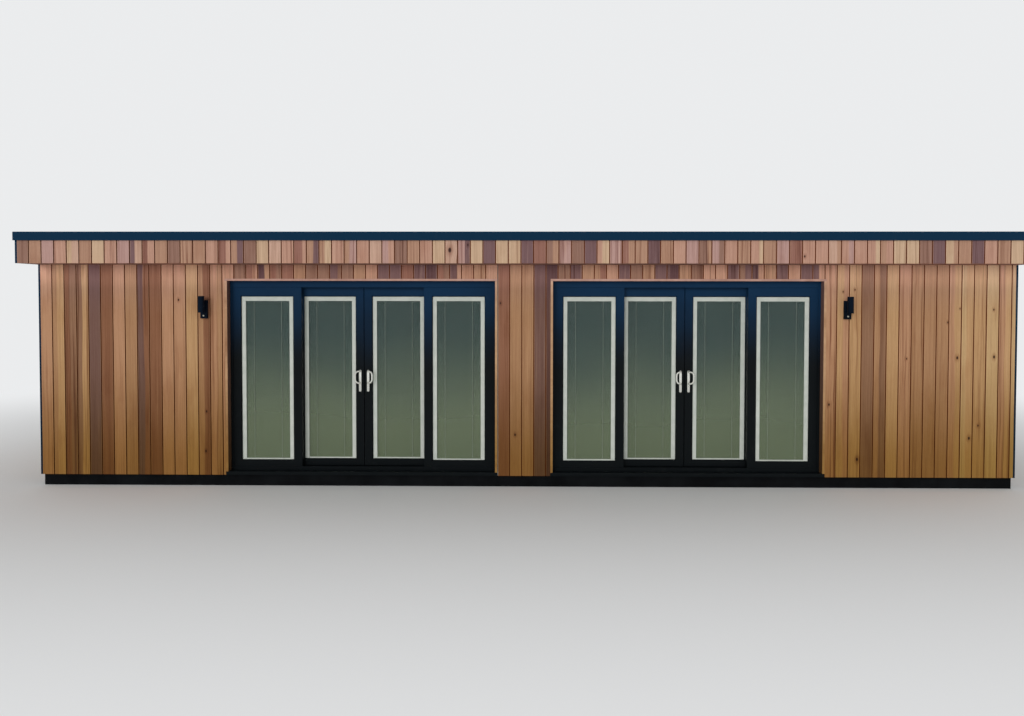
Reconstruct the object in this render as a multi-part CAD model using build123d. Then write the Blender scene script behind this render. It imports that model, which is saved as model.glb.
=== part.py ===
from build123d import *
import os

# Garden office pod: a flat-roofed timber building with cedar boards, a roof that
# overhangs the front, and two doorways, each with two fixed and two sliding leaves.
# Millimetres. +X runs to the right, +Y to the back, +Z up. The origin is the middle
# of the whole building at its lowest ground.

# Whole building
length = 10000
body_depth = 3400
plinth_height = 115
header_show = 143
fascia_height = 227
roof_trim_height = 82
front_overhang = 380
opening_width = 2800
pier_width = 544

# Walls, floor and roof
cladding_t = 20
wall_panel_t = 215
lining_t = 15
base_inset = 25
base_beam_width = 325
cross_beam_width = 150
cross_beam_count = 5
floor_t = 60
roof_front_t = 274
roof_fall = 45
membrane_t = 5
trim_proud = 14
trim_round = 8
trim_drip = 4
trim_drip_width = 4
rear_trim_height = 82

# Rear gutter and downpipe
gutter_width = 112
gutter_height = 78
gutter_wall = 3
gutter_drop = 8
downpipe_d = 68
downpipe_inset = 240
downpipe_foot = 3
clip_height = 30
clip_width = 90
clip_count = 3
bracket_count = 9
bracket_width = 25
bracket_t = 4
bracket_leg = 55
bracket_nose_gap = 20

# Doorway linings and cill
reveal_t = 24
reveal_head_t = 22
reveal_depth = 85
reveal_proud = 4
board_joint = 0.5
cill_height = 35
door_height = 1966

# Door frame
frame_gap = 4
frame_show = 25
frame_head_show = 65
frame_sill_show = 38
front_lip = 9
back_lip = 7
middle_lip = 14
leaf_t = 54
leaf_cover = 12
fixed_gap = 1
slide_gap = 5
head_lift_gap = 7
frame_edge = 2
slide_travel = 530
stop_gap = 5
stop_width = 30
stop_side_gap = 1

# Bottom track
middle_lip_drop = 8
back_lip_rise = 4
slider_bottom_drop = 4
rail_width = 6
rail_drop = 12
track_floor_drop = 26
roller_d = 36
roller_width = 8
roller_seat = 0.3
roller_side_gap = 2
roller_pin_d = 8
roller_inset = 110

# Leaves
stile_width = 83
interlock_width = 87
interlock_step = 5
meeting_gap = 6
top_rail_show = 92
bottom_rail_show = 65
bead_depth = 13
bead_chamfer = 7
leaf_edge = 2
glass_t = 5
cassette_t = 18
glazing_bite = 12
glazing_gap = 2

# Interlock hooks
hook_t = 2
hook_reach = 18
hook_leg_t = 3
hook_side_gap = 6
hook_end_gap = 10

# Blind frames sealed between the panes
border_side = 45
border_top = 50
border_bottom = 15
cord_spacing = 286
cord_d = 3

# Pull handles
plate_width = 30
plate_height = 228
plate_t = 9
plate_rise = 810
pull_d = 14
pull_faces = 8
pull_height = 122
pull_top_inset = 13
pull_side = 46
pull_reach = 42
pull_grip_bend = 30
lock_rise = 60
lock_d = 17
lock_reach = 3
key_slot_width = 3
key_slot_height = 9

# Wall lights
light_offset = 209
light_box_width = 72
light_box_height = 187
light_box_depth = 28
light_box_rise = 1616
light_tube_d = 62
light_tube_height = 168
light_tube_rise = 61
light_tube_stand = 90
light_tube_wall = 3
light_shade_depth = 30
light_arm_width = 26
light_arm_height = 34
light_arm_rise = 137
light_sensor_d = 24
light_sensor_tip = 16
light_sensor_reach = 9
light_sensor_rise = 28
light_edge = 4

# Places worked out from the sizes above
cill_top = plinth_height + cill_height
door_head = cill_top + door_height
opening_top = door_head + reveal_head_t
soffit_height = opening_top + header_show
roof_top = soffit_height + fascia_height + roof_trim_height
total_depth = trim_proud + front_overhang + body_depth + gutter_width
wall_y = -total_depth / 2 + trim_proud + front_overhang
rear_y = wall_y + body_depth
panel_y = wall_y + cladding_t
inner_y = panel_y + wall_panel_t
rear_inner_y = rear_y - cladding_t - wall_panel_t
half = length / 2
panel_x = half - cladding_t
inner_x = panel_x - wall_panel_t
fascia_top = soffit_height + fascia_height
roof_bottom = soffit_height + lining_t
roof_front_top = roof_bottom + roof_front_t
roof_rear_top = roof_front_top - roof_fall
rear_trim_top = roof_rear_top + membrane_t
rear_trim_bottom = rear_trim_top - rear_trim_height
fascia_y = wall_y - front_overhang

set_offset = (pier_width + opening_width) / 2
opening_edge = pier_width / 2 + opening_width

frame_y = wall_y + reveal_depth
frame_half = opening_width / 2 - frame_gap
day_half = opening_width / 2 - reveal_t - frame_show
fixed_y = frame_y + front_lip + fixed_gap
slide_y = fixed_y + leaf_t + fixed_gap + middle_lip + slide_gap
frame_depth = slide_y + leaf_t + slide_gap + back_lip - frame_y
lip_top = cill_top + frame_sill_show
lip_bottom = door_head - frame_head_show
leaf_top = lip_bottom + leaf_cover
fixed_bottom = lip_top - leaf_cover
slide_bottom = lip_top - slider_bottom_drop
pane_z = (lip_top + bottom_rail_show, lip_bottom - top_rail_show)
pane_width = (day_half - 2 * stile_width - interlock_width - interlock_step
              - meeting_gap / 2) / 2
rail_top = slide_bottom - rail_drop


def block(x, y, z):
    """A plain block between two places along each axis."""
    size = [end - start for start, end in (x, y, z)]
    middle = [(end + start) / 2 for start, end in (x, y, z)]
    return Pos(*middle) * Box(*size)


def along_x(outline, x):
    """A bar along X with its (y, z) outline, from one x to another."""
    section = Plane.YZ.offset(x[0]) * Polygon(*outline, align=None)
    return extrude(section, x[1] - x[0], dir=(1, 0, 0))


def along_z(outline, z):
    """A post along Z with its (x, y) outline, from one z to another."""
    section = Plane.XY.offset(z[0]) * Polygon(*outline, align=None)
    return extrude(section, z[1] - z[0], dir=(0, 0, 1))


def both_sides(shape):
    """A piece and its mirror image on the other side of the building."""
    return [shape, mirror(shape, Plane.YZ)]


def save(name, *solids):
    shape = solids[0] if len(solids) == 1 else Compound(list(solids))
    export_step(shape, f"parts/{name}.step")


# Ground beams and floor

def base_beams_long():
    x = (-half + base_inset, half - base_inset)
    z = (0, plinth_height)
    front = block(x, (wall_y + base_inset, wall_y + base_beam_width), z)
    rear = block(x, (rear_y - base_beam_width, rear_y - base_inset), z)
    return [front, rear]


def base_beams_cross():
    y = (wall_y + base_beam_width, rear_y - base_beam_width)
    z = (0, plinth_height)
    end_middle = half - (base_inset + base_beam_width) / 2
    beams = both_sides(block((half - base_beam_width, half - base_inset), y, z))
    spacing = 2 * end_middle / (cross_beam_count + 1)
    for number in range(1, cross_beam_count + 1):
        middle = -end_middle + number * spacing
        beams.append(block((middle - cross_beam_width / 2, middle + cross_beam_width / 2), y, z))
    return beams


def floor_panel():
    return block((-inner_x, inner_x), (inner_y, rear_inner_y),
                 (plinth_height, plinth_height + floor_t))


# Walls behind the boards

def front_wall_side():
    return block((opening_edge, panel_x), (panel_y, inner_y), (plinth_height, roof_bottom))


def front_wall_pier():
    return block((-pier_width / 2, pier_width / 2), (panel_y, inner_y),
                 (plinth_height, opening_top))


def front_beam():
    return block((-opening_edge, opening_edge), (panel_y, inner_y), (opening_top, roof_bottom))


def end_wall():
    return block((inner_x, panel_x), (inner_y, rear_inner_y), (plinth_height, roof_bottom))


def rear_wall():
    return block((-panel_x, panel_x), (rear_inner_y, rear_y - cladding_t),
                 (plinth_height, roof_bottom))


# Cedar cladding and trims

def front_cladding_side():
    return block((opening_edge, panel_x), (wall_y, panel_y), (plinth_height, soffit_height))


def front_cladding_pier():
    return block((-pier_width / 2, pier_width / 2), (wall_y, panel_y),
                 (plinth_height, soffit_height))


def front_cladding_over_doors():
    return both_sides(block((pier_width / 2, opening_edge), (wall_y, panel_y),
                            (opening_top, soffit_height)))


def side_cladding():
    return block((panel_x, half), (panel_y, rear_y - cladding_t), (plinth_height, fascia_top))


def rear_cladding():
    return block((-panel_x, panel_x), (rear_y - cladding_t, rear_y),
                 (plinth_height, rear_trim_bottom))


def corner_profiles():
    front = block((panel_x, half), (wall_y, panel_y), (plinth_height, soffit_height))
    rear = block((panel_x, half), (rear_y - cladding_t, rear_y), (plinth_height, fascia_top))
    fascia_end = block((panel_x, half), (fascia_y, fascia_y + cladding_t),
                       (soffit_height, fascia_top))
    return both_sides(front) + both_sides(rear) + both_sides(fascia_end)


def fascia():
    return block((-panel_x, panel_x), (fascia_y, fascia_y + cladding_t),
                 (soffit_height, fascia_top))


def fascia_cheeks():
    return both_sides(block((panel_x, half), (fascia_y + cladding_t, panel_y),
                            (soffit_height, fascia_top)))


def soffit():
    return block((-panel_x, panel_x), (fascia_y + cladding_t, panel_y),
                 (soffit_height, roof_bottom))


def reveal(middle_x):
    y = (wall_y - reveal_proud, frame_y)
    edge = opening_width / 2
    head = block((middle_x - edge, middle_x + edge), y, (door_head, opening_top))
    boards = [head]
    for side in (-1, 1):
        jamb = block((edge - reveal_t, edge), y, (cill_top, door_head - board_joint))
        jamb = jamb if side == 1 else mirror(jamb, Plane.YZ)
        boards.append(Pos(middle_x, 0, 0) * jamb)
    return boards


# Roof

def roof_panel():
    y = (fascia_y + cladding_t, rear_y - cladding_t)
    outline = [(y[0], roof_bottom), (y[1], roof_bottom), (y[1], roof_rear_top), (y[0], roof_front_top)]
    return along_x(outline, (-panel_x, panel_x))


def roof_membrane():
    y = (fascia_y + cladding_t, rear_y - cladding_t)
    outline = [(y[0], roof_front_top), (y[1], roof_rear_top),
               (y[1], roof_rear_top + membrane_t), (y[0], roof_front_top + membrane_t)]
    return along_x(outline, (-panel_x, panel_x))


def ceiling():
    return block((-inner_x, inner_x), (inner_y, rear_inner_y), (soffit_height, roof_bottom))


def trim_outline(bottom, top):
    """Section of the roof edge trim: u grows outwards from the wall's face, with a
    drip nib under its outer edge and a rounded top."""
    drip_start = trim_proud - trim_drip_width
    section = Polygon((-cladding_t, bottom), (drip_start, bottom),
                      (drip_start, bottom - trim_drip), (trim_proud, bottom - trim_drip),
                      (trim_proud, top), (-cladding_t, top), align=None)
    outer_top = section.vertices().filter_by_position(Axis.Y, top - 0.1, top + 0.1)
    return fillet(outer_top.sort_by(Axis.X)[-1], trim_round)


def roof_trim_front():
    section = trim_outline(fascia_top, roof_top)
    reach = half + trim_proud
    plane = Plane(origin=(-reach, fascia_y, 0), x_dir=(0, -1, 0), z_dir=(-1, 0, 0))
    return extrude(plane * section, -2 * reach)


def roof_trim_side():
    section = trim_outline(fascia_top, roof_top)
    start = fascia_y + cladding_t
    plane = Plane(origin=(half, start, 0), x_dir=(1, 0, 0), z_dir=(0, -1, 0))
    return extrude(plane * section, -(rear_y + trim_proud - start))


def roof_trim_rear():
    section = trim_outline(rear_trim_bottom, rear_trim_top)
    plane = Plane(origin=(-panel_x, rear_y, 0), x_dir=(0, 1, 0), z_dir=(1, 0, 0))
    return extrude(plane * section, 2 * panel_x)


# Rear gutter and downpipe

gutter_top = rear_trim_bottom - trim_drip - gutter_drop
gutter_bottom = gutter_top - gutter_height
downpipe_x = -half + downpipe_inset


def gutter():
    y = (rear_y, rear_y + gutter_width)
    whole = block((-panel_x, panel_x), y, (gutter_bottom, gutter_top))
    long_edges = whole.edges().filter_by(Axis.X).group_by(Axis.Z)[0]
    whole = fillet(long_edges.sort_by(Axis.Y)[-1], gutter_width / 4)
    trough = block((-panel_x + gutter_wall, panel_x - gutter_wall),
                   (y[0] + gutter_wall, y[1] - gutter_wall),
                   (gutter_bottom + gutter_wall, gutter_top + gutter_wall))
    trough_edges = trough.edges().filter_by(Axis.X).group_by(Axis.Z)[0]
    trough = fillet(trough_edges.sort_by(Axis.Y)[-1], gutter_width / 4 - gutter_wall)
    return whole - trough


def gutter_brackets():
    """Angle brackets, each with one leg on the wall and one under the gutter."""
    spacing = 2 * panel_x / bracket_count
    outline = [(rear_y, gutter_bottom), (rear_y + gutter_width - bracket_nose_gap, gutter_bottom),
               (rear_y + gutter_width - bracket_nose_gap, gutter_bottom - bracket_t),
               (rear_y + bracket_t, gutter_bottom - bracket_t),
               (rear_y + bracket_t, gutter_bottom - bracket_leg),
               (rear_y, gutter_bottom - bracket_leg)]
    brackets = []
    for number in range(bracket_count):
        middle = -panel_x + (number + 0.5) * spacing
        brackets.append(along_x(outline, (middle - bracket_width / 2, middle + bracket_width / 2)))
    return brackets


def downpipe():
    middle_y = rear_y + gutter_width / 2
    run = gutter_bottom - downpipe_foot
    pipe = Pos(downpipe_x, middle_y, downpipe_foot + run / 2) * Cylinder(downpipe_d / 2, run)
    spacing = run / clip_count
    for number in range(clip_count):
        middle_z = downpipe_foot + (number + 0.5) * spacing
        pipe += block((downpipe_x - clip_width / 2, downpipe_x + clip_width / 2),
                      (rear_y, middle_y), (middle_z - clip_height / 2, middle_z + clip_height / 2))
    return pipe


# Door frames

def cill(middle_x):
    edge = opening_width / 2
    y = (wall_y - reveal_proud, inner_y)
    shape = block((middle_x - edge, middle_x + edge), y, (plinth_height, cill_top))
    nose = shape.edges().filter_by(Axis.X).group_by(Axis.Z)[-1].sort_by(Axis.Y)[0]
    return fillet(nose, trim_round)


def frame_head(middle_x):
    back = frame_y + frame_depth
    top = opening_top - frame_gap
    fixed_channel = (fixed_y - fixed_gap, fixed_y + leaf_t + fixed_gap)
    slide_channel = (slide_y - slide_gap, slide_y + leaf_t + slide_gap)
    outline = [(frame_y, lip_bottom + frame_edge), (frame_y + frame_edge, lip_bottom),
               (fixed_channel[0], lip_bottom),
               (fixed_channel[0], leaf_top + fixed_gap), (fixed_channel[1], leaf_top + fixed_gap),
               (fixed_channel[1], lip_bottom), (slide_channel[0], lip_bottom),
               (slide_channel[0], leaf_top + head_lift_gap),
               (slide_channel[1], leaf_top + head_lift_gap),
               (slide_channel[1], lip_bottom), (back, lip_bottom), (back, top), (frame_y, top)]
    head = along_x(outline, (middle_x - day_half, middle_x + day_half))
    stop_start = slide_leaf_x[1] + slide_travel + stop_gap
    stop = block((stop_start, stop_start + stop_width), slide_channel,
                 (lip_bottom + stop_side_gap, leaf_top + head_lift_gap))
    for side in both_sides(stop):
        head += Pos(middle_x, 0, 0) * side
    return head


def frame_jambs(middle_x):
    back = frame_y + frame_depth
    fixed_channel = (fixed_y - fixed_gap, fixed_y + leaf_t + fixed_gap)
    slide_channel = (slide_y - slide_gap, slide_y + leaf_t + slide_gap)
    deep = day_half + leaf_cover + fixed_gap
    outline = [(day_half, frame_y + frame_edge), (day_half + frame_edge, frame_y),
               (frame_half, frame_y), (frame_half, back), (day_half, back),
               (day_half, slide_channel[1]), (deep, slide_channel[1]), (deep, slide_channel[0]),
               (day_half, slide_channel[0]), (day_half, fixed_channel[1]),
               (deep, fixed_channel[1]), (deep, fixed_channel[0]), (day_half, fixed_channel[0])]
    jamb = along_z(outline, (cill_top, opening_top - frame_gap))
    return [Pos(middle_x, 0, 0) * side for side in both_sides(jamb)]


def frame_track(middle_x):
    back = frame_y + frame_depth
    fixed_channel = (fixed_y - fixed_gap, fixed_y + leaf_t + fixed_gap)
    slide_channel = (slide_y - slide_gap, slide_y + leaf_t + slide_gap)
    rail_y = slide_y + leaf_t / 2
    floor_z = lip_top - track_floor_drop
    middle_top = lip_top - middle_lip_drop
    outline = [(frame_y, cill_top), (frame_y, lip_top - frame_edge),
               (frame_y + frame_edge, lip_top), (fixed_channel[0], lip_top),
               (fixed_channel[0], fixed_bottom), (fixed_channel[1], fixed_bottom),
               (fixed_channel[1], middle_top), (slide_channel[0], middle_top),
               (slide_channel[0], floor_z), (rail_y - rail_width / 2, floor_z),
               (rail_y - rail_width / 2, rail_top), (rail_y + rail_width / 2, rail_top),
               (rail_y + rail_width / 2, floor_z), (slide_channel[1], floor_z),
               (slide_channel[1], lip_top + back_lip_rise), (back, lip_top + back_lip_rise),
               (back, cill_top)]
    return along_x(outline, (middle_x - day_half, middle_x + day_half))


# Door leaves, modelled for the right half of a doorway about x = 0

def sash(x, pane_x, y0, z):
    """A leaf's frame: its outer block, the daylight opening with bevelled beads, and
    the rebate that holds the sealed unit."""
    y = (y0, y0 + leaf_t)
    shape = block(x, y, z)
    shape = chamfer(shape.faces().sort_by(Axis.Y)[0].edges(), leaf_edge)
    daylight = block(pane_x, (y0 - 1, y0 + leaf_t + 1), pane_z)
    rebate_x = (pane_x[0] - glazing_bite, pane_x[1] + glazing_bite)
    rebate_z = (pane_z[0] - glazing_bite, pane_z[1] + glazing_bite)
    unit_y = (y0 + bead_depth, y0 + bead_depth + 2 * glass_t + cassette_t)
    shape = shape - daylight - block(rebate_x, unit_y, rebate_z)
    width = pane_x[1] - pane_x[0]
    height = pane_z[1] - pane_z[0]
    middle = ((pane_x[0] + pane_x[1]) / 2, (pane_z[0] + pane_z[1]) / 2)
    bevel = Rectangle(width + 2 * bead_chamfer, height + 2 * bead_chamfer)
    mouth = Plane(origin=(middle[0], y0, middle[1]), x_dir=(1, 0, 0), z_dir=(0, 1, 0)) * bevel
    inner = Plane(origin=(middle[0], y0 + bead_chamfer, middle[1]), x_dir=(1, 0, 0),
                  z_dir=(0, 1, 0)) * Rectangle(width, height)
    return shape - loft([mouth, inner])


def glass_sheets(pane_x, y0):
    bite = glazing_bite - glazing_gap
    x = (pane_x[0] - bite, pane_x[1] + bite)
    z = (pane_z[0] - bite, pane_z[1] + bite)
    outer_y = y0 + bead_depth
    inner_y0 = outer_y + glass_t + cassette_t
    return [block(x, (outer_y, outer_y + glass_t), z), block(x, (inner_y0, inner_y0 + glass_t), z)]


def blind_cassette(pane_x, y0):
    bite = glazing_bite - glazing_gap
    x = (pane_x[0] - bite, pane_x[1] + bite)
    z = (pane_z[0] - bite, pane_z[1] + bite)
    y = (y0 + bead_depth + glass_t, y0 + bead_depth + glass_t + cassette_t)
    clear_x = (pane_x[0] + border_side, pane_x[1] - border_side)
    clear_z = (pane_z[0] + border_bottom, pane_z[1] - border_top)
    shape = block(x, y, z) - block(clear_x, (y[0] - 1, y[1] + 1), clear_z)
    middle_x = (pane_x[0] + pane_x[1]) / 2
    middle_y = (y[0] + y[1]) / 2
    for side in (-1, 1):
        cord_x = middle_x + side * cord_spacing / 2
        shape += block((cord_x - cord_d / 2, cord_x + cord_d / 2),
                       (middle_y - cord_d / 2, middle_y + cord_d / 2), clear_z)
    return shape


fixed_pane_x = (day_half - stile_width - pane_width, day_half - stile_width)
fixed_leaf_x = (fixed_pane_x[0] - interlock_width, day_half + leaf_cover)
slide_pane_x = (meeting_gap / 2 + stile_width, meeting_gap / 2 + stile_width + pane_width)
slide_leaf_x = (meeting_gap / 2, slide_pane_x[1] + interlock_width)
leaf_space = slide_y - fixed_y - leaf_t
hook_gap = (leaf_space - 2 * hook_t) / 3


def fixed_sash():
    shape = sash(fixed_leaf_x, fixed_pane_x, fixed_y, (fixed_bottom, leaf_top))
    back = fixed_y + leaf_t
    edge = fixed_leaf_x[0]
    lip_y = back + 2 * hook_gap + hook_t
    outline = [(edge, back), (edge, lip_y + hook_t), (edge + hook_leg_t + hook_reach, lip_y + hook_t),
               (edge + hook_leg_t + hook_reach, lip_y), (edge + hook_leg_t, lip_y),
               (edge + hook_leg_t, back)]
    return shape + along_z(outline, (lip_top + hook_end_gap, lip_bottom - hook_end_gap))


def sliding_sash():
    shape = sash(slide_leaf_x, slide_pane_x, slide_y, (slide_bottom, leaf_top))
    tip = fixed_leaf_x[0] + hook_leg_t + hook_side_gap
    leg = fixed_leaf_x[0] + hook_leg_t + hook_reach + hook_side_gap
    lip_y = fixed_y + leaf_t + hook_gap
    outline = [(tip, lip_y), (leg + hook_leg_t, lip_y), (leg + hook_leg_t, slide_y),
               (leg, slide_y), (leg, lip_y + hook_t), (tip, lip_y + hook_t)]
    shape += along_z(outline, (lip_top + hook_end_gap, lip_bottom - hook_end_gap))
    axle_z = rail_top + roller_seat + roller_d / 2
    roller_y = slide_y + leaf_t / 2
    pocket_half = roller_width / 2 + roller_side_gap
    for roller_x in (slide_leaf_x[0] + roller_inset, slide_leaf_x[1] - roller_inset):
        reach = roller_d / 2 + roller_side_gap
        shape -= block((roller_x - reach, roller_x + reach),
                       (roller_y - pocket_half, roller_y + pocket_half),
                       (slide_bottom - 1, axle_z + reach))
        lying = Pos(roller_x, roller_y, axle_z) * Rot(90, 0, 0)
        shape += lying * Cylinder(roller_d / 2, roller_width)
        shape += lying * extrude(RegularPolygon(roller_pin_d / 2, 6), pocket_half, both=True)
    return shape


def handle():
    """Slim plate with rounded ends and a D-shaped pull set off towards the glass."""
    plate_x = meeting_gap / 2 + stile_width / 2
    plate_bottom = cill_top + plate_rise
    plate_z = plate_bottom + plate_height / 2
    face = Plane(origin=(plate_x, slide_y, plate_z), x_dir=(1, 0, 0), z_dir=(0, -1, 0))
    plate = extrude(face * Rot(0, 0, 90) * SlotOverall(plate_height, plate_width), plate_t)
    top = plate_bottom + plate_height - pull_top_inset
    seat_y = slide_y - plate_t / 2
    grip_y = slide_y - pull_reach
    low = top - pull_height
    grip_x = plate_x + pull_side
    bow = FilletPolyline((plate_x, grip_y, top), (grip_x, grip_y, top), (grip_x, grip_y, low),
                         (plate_x, grip_y, low), radius=pull_grip_bend)
    posts = [Line((plate_x, seat_y, z), (plate_x, grip_y, z)) for z in (top, low)]
    path = Wire([posts[0], *bow.edges(), posts[1]])
    start = Plane(origin=(plate_x, seat_y, top), x_dir=(1, 0, 0), z_dir=(0, -1, 0))
    return plate + sweep(start * RegularPolygon(pull_d / 2, pull_faces), path=path,
                         transition=Transition.RIGHT)


def lock():
    """Round lock with a key slot, low on the plate."""
    face_y = slide_y - plate_t - lock_reach
    middle = (meeting_gap / 2 + stile_width / 2, face_y, cill_top + plate_rise + lock_rise)
    face = Plane(origin=middle, x_dir=(1, 0, 0), z_dir=(0, 1, 0))
    barrel = extrude(face * Circle(lock_d / 2), lock_reach + plate_t / 2)
    return barrel - extrude(face * Rectangle(key_slot_width, key_slot_height), lock_reach)


def wall_light():
    """Box on the wall with an arm that carries a short upright tube, open below, and
    a round sensor low on the box. For the right-hand side of the building."""
    box_bottom = plinth_height + light_box_rise
    middle_x = opening_edge + light_offset
    box_x = (middle_x - light_box_width / 2, middle_x + light_box_width / 2)
    shape = block(box_x, (wall_y - light_box_depth, wall_y),
                  (box_bottom, box_bottom + light_box_height))
    shape = chamfer(shape.faces().sort_by(Axis.Y)[0].edges(), light_edge)
    tube_y = wall_y - light_tube_stand
    arm_z = box_bottom + light_arm_rise
    shape += block((middle_x - light_arm_width / 2, middle_x + light_arm_width / 2),
                   (tube_y, wall_y - light_box_depth / 2),
                   (arm_z - light_arm_height / 2, arm_z + light_arm_height / 2))
    tube_bottom = Plane.XY.offset(box_bottom + light_tube_rise) * Pos(middle_x, tube_y)
    shape += extrude(tube_bottom * Circle(light_tube_d / 2), light_tube_height)
    shape -= extrude(tube_bottom * Circle(light_tube_d / 2 - light_tube_wall), light_shade_depth)
    sensor_face = Plane(origin=(middle_x, wall_y - light_box_depth, box_bottom + light_sensor_rise),
                        x_dir=(1, 0, 0), z_dir=(0, -1, 0))
    sensor = loft([sensor_face * Circle(light_sensor_d / 2),
                   sensor_face.offset(light_sensor_reach) * Circle(light_sensor_tip / 2)])
    return shape + sensor


def flip(shape):
    return mirror(shape, Plane.YZ)


def main():
    os.makedirs("parts", exist_ok=True)

    save("base_beams_long", *base_beams_long())
    save("base_beams_cross", *base_beams_cross())
    save("floor_panel", floor_panel())

    save("front_wall_right", front_wall_side())
    save("front_wall_left", flip(front_wall_side()))
    save("front_wall_pier", front_wall_pier())
    save("front_beam", front_beam())
    save("right_wall", end_wall())
    save("left_wall", flip(end_wall()))
    save("rear_wall", rear_wall())

    save("front_cladding_right", front_cladding_side())
    save("front_cladding_left", flip(front_cladding_side()))
    save("front_cladding_pier", front_cladding_pier())
    save("front_cladding_over_doors", *front_cladding_over_doors())
    save("right_cladding", side_cladding())
    save("left_cladding", flip(side_cladding()))
    save("rear_cladding", rear_cladding())
    save("corner_profiles", *corner_profiles())
    save("fascia", fascia())
    save("fascia_cheeks", *fascia_cheeks())
    save("soffit", soffit())

    save("roof_panel", roof_panel())
    save("roof_membrane", roof_membrane())
    save("ceiling", ceiling())
    save("roof_trim_front", roof_trim_front())
    save("roof_trim_sides", *both_sides(roof_trim_side()))
    save("roof_trim_rear", roof_trim_rear())
    save("gutter", gutter())
    save("gutter_brackets", *gutter_brackets())
    save("downpipe", downpipe())

    save("wall_lights", *both_sides(wall_light()))

    save("reveals", *reveal(-set_offset), *reveal(set_offset))
    save("cills", *both_sides(cill(set_offset)))
    save("door_heads", *both_sides(frame_head(set_offset)))
    save("door_jambs", *frame_jambs(-set_offset), *frame_jambs(set_offset))
    save("door_tracks", *both_sides(frame_track(set_offset)))

    middles = (Pos(-set_offset, 0, 0), Pos(set_offset, 0, 0))
    fixed_glass = glass_sheets(fixed_pane_x, fixed_y)
    fixed_cassette = blind_cassette(fixed_pane_x, fixed_y)
    save("fixed_sashes", *[place * leaf for place in middles for leaf in both_sides(fixed_sash())])
    save("fixed_glass", *[place * sheet for place in middles
                          for pane in fixed_glass for sheet in both_sides(pane)])
    save("fixed_blinds", *[place * leaf for place in middles
                           for leaf in both_sides(fixed_cassette)])

    leaf = {
        "sash": [sliding_sash()],
        "glass": glass_sheets(slide_pane_x, slide_y),
        "blind": [blind_cassette(slide_pane_x, slide_y)],
        "handle": [handle()],
    }
    left_leaf = {piece: [flip(solid) for solid in solids] for piece, solids in leaf.items()}
    locked_leaf = {**leaf, "handle": [handle() + lock()]}
    doors = ((1, middles[0], left_leaf), (2, middles[0], locked_leaf),
             (3, middles[1], left_leaf), (4, middles[1], locked_leaf))
    for number, place, pieces in doors:
        for piece, solids in pieces.items():
            save(f"door_{number}_{piece}", *[place * solid for solid in solids])


main()
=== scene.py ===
import bmesh
import bpy
import math
import random
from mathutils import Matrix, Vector


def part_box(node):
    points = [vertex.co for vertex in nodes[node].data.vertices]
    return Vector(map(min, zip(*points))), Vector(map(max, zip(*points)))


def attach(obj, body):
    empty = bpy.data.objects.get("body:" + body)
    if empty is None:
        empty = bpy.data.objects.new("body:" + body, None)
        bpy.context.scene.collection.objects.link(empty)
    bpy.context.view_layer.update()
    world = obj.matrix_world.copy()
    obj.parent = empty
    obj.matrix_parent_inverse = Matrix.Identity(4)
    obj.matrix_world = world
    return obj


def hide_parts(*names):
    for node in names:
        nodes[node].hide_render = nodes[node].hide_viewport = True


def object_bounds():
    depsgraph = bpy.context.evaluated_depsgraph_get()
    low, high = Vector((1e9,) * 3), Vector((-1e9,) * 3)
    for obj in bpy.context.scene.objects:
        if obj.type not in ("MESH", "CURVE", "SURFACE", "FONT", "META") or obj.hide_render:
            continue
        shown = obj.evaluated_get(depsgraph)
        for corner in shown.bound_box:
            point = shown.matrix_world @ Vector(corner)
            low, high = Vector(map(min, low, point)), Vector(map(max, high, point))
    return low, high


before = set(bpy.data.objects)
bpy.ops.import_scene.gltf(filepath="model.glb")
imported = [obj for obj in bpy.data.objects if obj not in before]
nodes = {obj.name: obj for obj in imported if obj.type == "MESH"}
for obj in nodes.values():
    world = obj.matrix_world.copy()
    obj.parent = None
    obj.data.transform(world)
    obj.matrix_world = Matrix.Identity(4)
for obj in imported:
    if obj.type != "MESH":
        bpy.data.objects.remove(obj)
cad_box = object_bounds()
rng = random.Random(7)

# Places read from the model's parts, in metres
wall_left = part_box("front_cladding_left")
wall_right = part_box("front_cladding_right")
wall_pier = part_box("front_cladding_pier")
over_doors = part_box("front_cladding_over_doors")
fascia_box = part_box("fascia")
WALL_Y = wall_left[0].y
BACK_Y = wall_left[1].y
BOARD_T = BACK_Y - WALL_Y
BOARDS_LOW = wall_left[0].z
SOFFIT = wall_left[1].z
OPENING_TOP = over_doors[0].z

# Photo's camera, found by fitting the building's corners
CAMERA_DISTANCE = 8.313
CAMERA_X = 0.003
CAMERA_HEIGHT = 1.965
FOCAL_PIXELS = 813.7
PHOTO_WIDTH = 1024
PHOTO_HEIGHT = 716
CAMERA_YAW = 0.83
CAMERA_PITCH = -1.56
CAMERA_ROLL = -0.06
MIDDLE_ROW = 318
MIDDLE_COLUMN = 512.5
SENSOR = 36

# Boards
BOARD_PITCH = 0.1242
JOINT = 0.0095
BOARD_EDGE = 0.0022
TONGUE_DEPTH = 0.013

# Runs of boards seen along the front: where each starts, how many and their cover
WALL_RUNS = ((-4.981, 15, 0.1257), (-3.095, 51, 0.1231), (3.183, 15, 0.1258))
FASCIA_RUNS = ((-4.986, 19, 0.1248), (-2.615, 34, 0.1233), (1.577, 28, 0.1250))

# Panes: how far the glass reaches under the beads, and the rubber strip on it
GLASS_BITE = 0.010
GASKET_WIDTH = 0.004
GASKET_PROUD = 0.002
BLIND_GAP = 0.0006
BORDER_SIDE = 0.045
BORDER_TOP = 0.05
BORDER_BOTTOM = 0.015
CORD_OFFSET = 0.143
CORD_RADIUS = 0.0013

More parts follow.
